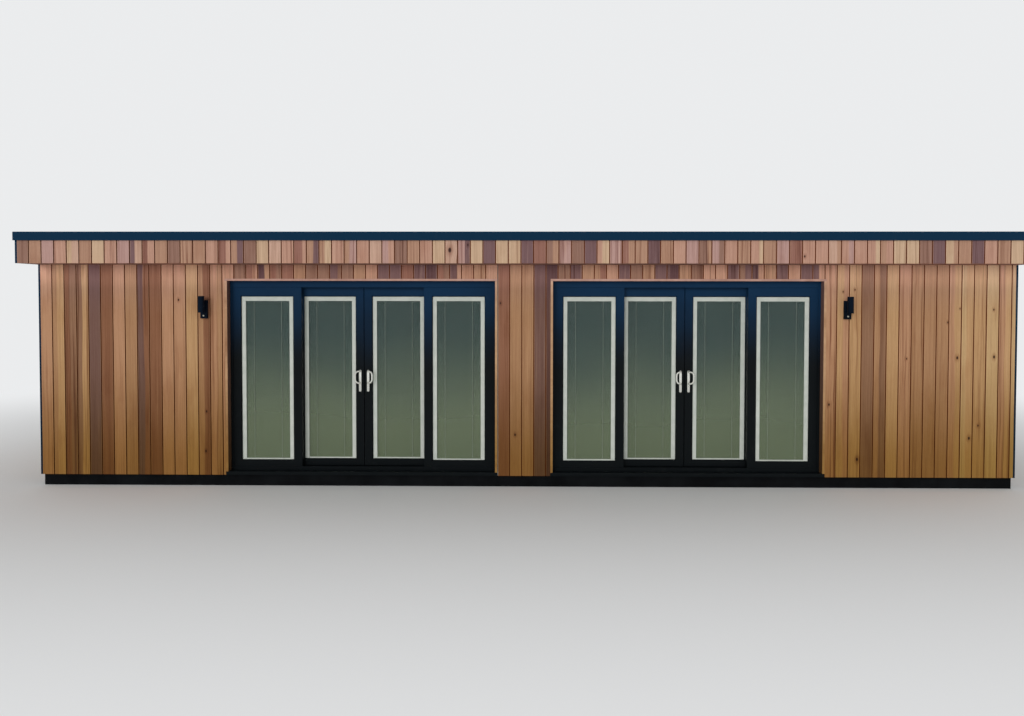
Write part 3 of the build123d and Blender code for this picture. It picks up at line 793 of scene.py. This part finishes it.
def wall_lights(black, pale):
    """Box on the wall with an arm that carries a short tube, open below, and a sensor."""
    low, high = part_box("wall_lights")
    lights, lenses = Solid("wall_light_pair"), Solid("light_lenses")
    back = high.y
    front = back - LIGHT_BOX_DEPTH
    tube_y = back - LIGHT_TUBE_STAND
    half_width = LIGHT_BOX_WIDTH / 2
    for side in (-1, 1):
        x = side * (high.x - half_width)
        rings = []
        for y, inset in ((back, 0), (front + LIGHT_EDGE, 0), (front + LIGHT_EDGE * 0.3, LIGHT_EDGE * 0.3),
                         (front, LIGHT_EDGE)):
            rings.append([Vector((x + a * (half_width - inset), y, z)) for a, z in
                          ((-1, low.z + inset), (1, low.z + inset),
                           (1, low.z + LIGHT_BOX_HEIGHT - inset),
                           (-1, low.z + LIGHT_BOX_HEIGHT - inset))])
        lights.rings(rings)
        arm_z = low.z + LIGHT_ARM_RISE
        lights.box(Vector((x - LIGHT_ARM_WIDTH / 2, tube_y, arm_z - LIGHT_ARM_HEIGHT / 2)),
                   Vector((x + LIGHT_ARM_WIDTH / 2, front + LIGHT_EDGE, arm_z + LIGHT_ARM_HEIGHT / 2)),
                   0.002)
        foot = low.z + LIGHT_TUBE_RISE
        top = foot + LIGHT_TUBE_HEIGHT
        inner = LIGHT_TUBE_RADIUS - LIGHT_TUBE_WALL
        levels = ((foot + LIGHT_SHADE_DEPTH, inner), (foot, inner), (foot, LIGHT_TUBE_RADIUS),
                  (foot + 0.012, LIGHT_TUBE_RADIUS), (foot + 0.0128, LIGHT_TUBE_RADIUS - 0.0008),
                  (foot + 0.0136, LIGHT_TUBE_RADIUS), (top - 0.003, LIGHT_TUBE_RADIUS),
                  (top - 0.0008, LIGHT_TUBE_RADIUS - 0.0008), (top, LIGHT_TUBE_RADIUS - 0.003))
        lights.rings([round_ring(Vector((x, tube_y, z)), radius, X, Y, 40) for z, radius in levels])
        lens_top = foot + LIGHT_SHADE_DEPTH
        lenses.rings([round_ring(Vector((x, tube_y, z)), radius, X, Y) for z, radius in
                      ((lens_top, inner - 0.001), (lens_top - 0.004, inner - 0.001),
                       (lens_top - 0.008, inner - 0.012))])
        sensor = Vector((x, front, low.z + SENSOR_RISE))
        lights.rings([round_ring(sensor - Y * reach, radius, X, Z) for reach, radius in
                      ((0, SENSOR_RADIUS), (0.002, SENSOR_RADIUS), (0.003, SENSOR_RADIUS - 0.001))])
        lenses.rings([round_ring(sensor - Y * reach, radius, X, Z) for reach, radius in
                      ((0.003, 0.0088), (0.0055, 0.0080), (0.0075, 0.0058), (0.0088, 0.0022))])
    lights.build(black, "building", "light_black", ("wall_lights",), smooth=35)
    lenses.build(pale, "building", "light_black", smooth=35)


def downpipe(material):
    """Round pipe with clips on the wall and a socket above each of them."""
    low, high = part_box("downpipe")
    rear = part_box("gutter")[0].y
    middle_y = high.y - PIPE_RADIUS
    x = (low.x + high.x) / 2
    wide = PIPE_RADIUS + PIPE_SOCKET
    spacing = (high.z - low.z) / PIPE_CLIPS
    clip_heights = [low.z + (number + 0.5) * spacing for number in range(PIPE_CLIPS)]
    pipe = Solid("round_downpipe")
    levels = [(low.z, PIPE_RADIUS - 0.002), (low.z, PIPE_RADIUS), (low.z + 0.03, PIPE_RADIUS)]
    for z in clip_heights:
        levels += [(z + 0.020, PIPE_RADIUS), (z + 0.020, wide), (z + 0.065, wide),
                   (z + 0.068, PIPE_RADIUS)]
    levels += [(high.z, PIPE_RADIUS)]
    pipe.rings([round_ring(Vector((x, middle_y, z)), r, X, Y, 40) for z, r in levels])
    for z in clip_heights:
        foot, top = z - CLIP_HALF_HEIGHT, z + CLIP_HALF_HEIGHT
        pipe.box(Vector((low.x, rear, foot)), Vector((high.x, rear + 0.006, top)), 0.002)
        collar = ((foot, PIPE_RADIUS), (foot + 0.002, wide), (top - 0.002, wide), (top, PIPE_RADIUS))
        pipe.rings([round_ring(Vector((x, middle_y, height)), r, X, Y, 40) for height, r in collar])
        pipe.box(Vector((x - 0.020, rear, z - 0.012)), Vector((x + 0.020, middle_y - 0.02, z + 0.012)))
    pipe.build(material, "building", "rainwater", ("downpipe",), smooth=35)


def membrane_sheets(material):
    """Roofing sheets from front to rear, each lapped and welded over its neighbour."""
    low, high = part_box("roof_membrane")
    sheets = Solid("membrane_sheets")
    count = math.ceil((high.x - low.x) / SHEET_WIDTH)
    width = (high.x - low.x) / count

    def slab(x0, x1, bottom, top):
        sheets.rings([[Vector((x, low.y, high.z - MEMBRANE_T + bottom)),
                       Vector((x, high.y, low.z + bottom)),
                       Vector((x, high.y, low.z + top)),
                       Vector((x, low.y, high.z - MEMBRANE_T + top))] for x in (x0, x1)])

    for number in range(count):
        start = low.x + number * width
        slab(start, start + width, 0, MEMBRANE_T)
        if number:
            slab(start - LAP_WIDTH / 2, start + LAP_WIDTH / 2, MEMBRANE_T, MEMBRANE_T + LAP_T)
    sheets.build(material, "building", "membrane", ("roof_membrane",))


# Other finishes

def painted(name, top, bottom, high, low, roughness=0.42, specular=0.08):
    """Satin powder coat from its colour at one height to that at another, with fine
    orange peel, slow drift and a little dust. The lighter, bluer colour at the top is a
    painted sky reflection."""
    t = Tree(name)
    place = t.object_place()
    slow = t.noise(place, 1.3, 3.0)
    peel = t.noise(place, 420.0, 2.0)
    dust = t.noise(place, 9.0, 4.0, 0.65)
    rise = t.math("ADD", t.height(), t.math("MULTIPLY", t.math("SUBTRACT", slow, 0.5), 0.5))
    # painted sky reflection: lighter and bluer towards the top
    body = t.blend(t.span(rise, low, high), rgb(bottom), rgb(top))
    body = t.blend(t.span(dust, 0.55, 0.85, 0.0, 0.06), body, rgb("5a5e60"))
    t.set(Base_Color=body, Roughness=t.span(dust, 0.3, 0.7, roughness - 0.06, roughness + 0.1),
          Specular_IOR_Level=specular)
    t.bump(peel, 0.12, 0.0004)
    return t.material


def glass(name, top, bottom, alpha):
    """Float glass with a faint wave and smears, darker above than below: the lighter, greener colour
    lower down is a painted reflection of the ground.
    """
    t = Tree(name)
    place = t.object_place()
    wave = t.noise(place, 0.9, 1.0)
    smear = t.noise(place, 6.0, 4.0, 0.6)
    rise = t.math("ADD", t.height(), t.math("MULTIPLY", t.math("SUBTRACT", wave, 0.5), 0.6))
    # painted reflection: lighter and greener towards the bottom
    t.set(Base_Color=t.blend(t.span(rise, 0.5, 1.7), rgb(bottom), rgb(top)),
          Roughness=t.span(smear, 0.4, 0.8, 0.0, 0.05), Alpha=alpha, IOR=1.5)
    t.bump(wave, 0.02, 0.01)
    return t.material


def plain_finish(name, colour, second, roughness, scale=6.0, bump=0.0006, specular=0.3,
                 metallic=0.0):
    """A dull surface with patches and a fine texture."""
    t = Tree(name)
    place = t.object_place()
    patches = t.noise(place, scale, 4.0, 0.6)
    fine = t.noise(place, scale * 45, 3.0, 0.6)
    t.set(Base_Color=t.blend(t.span(patches, 0.3, 0.75), rgb(colour), rgb(second)),
          Roughness=t.span(fine, 0.3, 0.7, roughness - 0.07, roughness + 0.07),
          Specular_IOR_Level=specular, Metallic=metallic)
    t.bump(fine, 0.3, bump)
    return t.material


def brushed_metal(name, colour, second, roughness):
    """Satin metal with fine marks along its length."""
    t = Tree(name)
    place = t.object_place()
    marks = t.noise(t.vector_math("MULTIPLY", place, (2600.0, 2600.0, 60.0)), 1.0, 2.0)
    touch = t.noise(place, 38.0, 3.0)
    t.set(Base_Color=t.blend(t.span(touch, 0.35, 0.75), rgb(colour), rgb(second)),
          Roughness=t.span(t.math("ADD", marks, t.math("MULTIPLY", touch, 0.5)), 0.5, 1.0,
                           roughness - 0.06, roughness + 0.08),
          Metallic=1.0)
    t.bump(marks, 0.1, 0.0002)
    return t.material


def give(material, *names):
    for name in names:
        mesh = nodes[name].data
        mesh.materials.clear()
        mesh.materials.append(material)


def give_glass(outer, inner, *names):
    """Clear outer sheets and dark inner ones."""
    for name in names:
        low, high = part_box(name)
        give(outer, name)
        obj = nodes[name]
        obj.data.materials.append(inner)
        for polygon in obj.data.polygons:
            polygon.material_index = int((obj.matrix_world @ polygon.center).y > (low.y + high.y) / 2)


def finishes():
    doors = range(1, 5)
    # frames and trims lighter and bluer at the top than below: painted sky reflection
    navy = painted("frame_navy", "123250", "0d1113", 2.25, 1.2)
    trim = painted("trim_navy", "0a2c44", "071b2b", 2.5, 0.8)
    black = plain_finish("black_timber", "08090b", "121416", 0.85, 4.0, 0.0015, 0.1)
    rubber = plain_finish("black_rubber", "050607", "0a0b0c", 0.6, 20.0, 0.0001, 0.15)
    gutter_black = plain_finish("black_gutter", "0b0c0d", "131415", 0.3, 3.0, 0.0002, 0.4)
    metal = brushed_metal("satin_steel", "f6f6ee", "ebebe2", 0.30)
    give(navy, "door_heads", "door_jambs", "door_tracks", "fixed_sashes", "cills",
         *[f"door_{n}_sash" for n in doors])
    give(trim, "roof_trim_front", "roof_trim_sides", "roof_trim_rear", "corner_profiles")
    give(black, "base_beams_long", "base_beams_cross")
    cream = plain_finish("blind_cream", "e0e4db", "d3d9cf", 0.5, 12.0, 0.0002, 0.2)
    cord = plain_finish("blind_cord", "a3aa9e", "b1b7aa", 0.7, 40.0, 0.0001, 0.1)
    blinds("fixed", "fixed_blinds", "fixed_glass", "building", cream, cord)
    give(plain_finish("wall_paint", "c9c7c0", "c2c0b9", 0.85, 2.0, 0.0005), "front_wall_left",
         "front_wall_right", "front_wall_pier", "front_beam", "left_wall", "right_wall",
         "rear_wall", "ceiling")
    give(plain_finish("roof_boarding", "8a6f4e", "7a6143", 0.8, 5.0), "roof_panel")
    give(gutter_black, "gutter", "gutter_brackets")
    # glass colours darker above and lighter, greener below: painted reflection
    give_glass(glass("outer_glass", "1d2f2b", "24332c", 0.05),
               glass("inner_glass", "445a55", "7c8a6c", 0.66),
               "fixed_glass", *[f"door_{n}_glass" for n in doors])
    gaskets("gaskets_fixed", "fixed_glass", "building", rubber)
    for number in doors:
        gaskets(f"gaskets_{number}", f"door_{number}_glass", f"door_{number}", rubber)
        blinds(number, f"door_{number}_blind", f"door_{number}_glass", f"door_{number}", cream, cord)
        handle(number, metal, rubber)
    # the wall lights a touch bluer at the top: painted sky reflection
    wall_lights(painted("light_black", "04111f", "030a12", 1.9, 1.7, 0.5),
                plain_finish("sensor_cream", "b9b6a6", "a8a596", 0.4, 60.0, 0.0001))
    downpipe(gutter_black)
    membrane_sheets(plain_finish("rubber_membrane", "2b2d30", "37393b", 0.75, 1.5, 0.002))


# Studio

def studio():
    scene = bpy.context.scene
    scene.view_settings.view_transform = "Standard"
    world = bpy.data.worlds.new("studio")
    scene.world = world
    world.use_nodes = True
    tree = world.node_tree
    back = tree.nodes["Background"]
    back.inputs["Color"].default_value = (0.80, 0.81, 0.82, 1)
    back.inputs["Strength"].default_value = WORLD_STRENGTH
    seen = tree.nodes.new("ShaderNodeBackground")
    seen.inputs["Color"].default_value = PALE
    mix = tree.nodes.new("ShaderNodeMixShader")
    tree.links.new(seen_by_eye(tree), mix.inputs[0])
    tree.links.new(back.outputs[0], mix.inputs[1])
    tree.links.new(seen.outputs[0], mix.inputs[2])
    tree.links.new(mix.outputs[0], tree.nodes["World Output"].inputs["Surface"])

    sun = bpy.data.lights.new("soft_key", "SUN")
    sun.energy = SUN_ENERGY
    sun.angle = math.radians(SUN_SPREAD)
    key = bpy.data.objects.new("soft_key", sun)
    key.rotation_euler = [math.radians(angle) for angle in SUN_ANGLES]
    key.visible_glossy = False
    scene.collection.objects.link(key)

    mesh = bpy.data.meshes.new("studio_floor")
    corners = [(x * FLOOR_HALF_SIZE, y * FLOOR_HALF_SIZE, 0)
               for x, y in ((-1, -1), (1, -1), (1, 1), (-1, 1))]
    mesh.from_pydata(corners, [], [(0, 1, 2, 3)])
    floor = bpy.data.objects.new("studio_floor", mesh)
    scene.collection.objects.link(floor)
    t = Tree("studio_floor")
    t.set(Base_Color=(0.84, 0.84, 0.83, 1), Roughness=0.9, Specular_IOR_Level=0.2)
    high = cad_box[1]
    x, y = t.separate(t.object_place())[:2]
    beside = [t.math("MAXIMUM", t.math("SUBTRACT", t.math("ABSOLUTE", place), size), 0.0)
              for place, size in ((x, high[0]), (y, high[1]))]
    away = t.vector_math("LENGTH", t.combine(beside[0], beside[1], 0.0), (0, 0, 0))
    glow = t.add("Emission", {"Color": PALE})
    far = t.math("MULTIPLY", t.span(away, 0.0, FADE_DISTANCE), seen_by_eye(t.tree))
    fade = t.add("MixShader", {0: far, 1: t.shader.outputs[0], 2: glow.outputs[0]})
    t.join(fade.outputs[0], t.output.inputs["Surface"])
    mesh.materials.append(t.material)


def seen_by_eye(tree):
    """1 for a ray that shows the background itself, 0 for one that lights the object."""
    path = tree.nodes.new("ShaderNodeLightPath")
    total = path.outputs["Is Camera Ray"]
    for name in ("Is Glossy Ray", "Is Transmission Ray"):
        larger = tree.nodes.new("ShaderNodeMath")
        larger.operation = "MAXIMUM"
        tree.links.new(total, larger.inputs[0])
        tree.links.new(path.outputs[name], larger.inputs[1])
        total = larger.outputs[0]
    return total


def camera():
    data = bpy.data.cameras.new("photo_camera")
    data.sensor_width = SENSOR
    data.lens = FOCAL_PIXELS / PHOTO_WIDTH * SENSOR
    data.shift_y = -(PHOTO_HEIGHT / 2 - MIDDLE_ROW) / PHOTO_WIDTH
    data.shift_x = (PHOTO_WIDTH / 2 - MIDDLE_COLUMN) / PHOTO_WIDTH
    data.clip_end = 200
    view = bpy.data.objects.new("photo_camera", data)
    view.location = (CAMERA_X, WALL_Y - CAMERA_DISTANCE, CAMERA_HEIGHT)
    view.rotation_euler = (math.radians(90 + CAMERA_PITCH), math.radians(CAMERA_ROLL),
                           math.radians(CAMERA_YAW))
    bpy.context.scene.collection.objects.link(view)
    bpy.context.scene.camera = view


def main():
    camera()
    studio()
    finishes()
    cedar = timber("cedar", True)
    front_wall(cedar)
    fascia(cedar)
    side_and_rear_walls(cedar)
    reveals(cedar)
    floor_planks(timber("oak", False))


main()
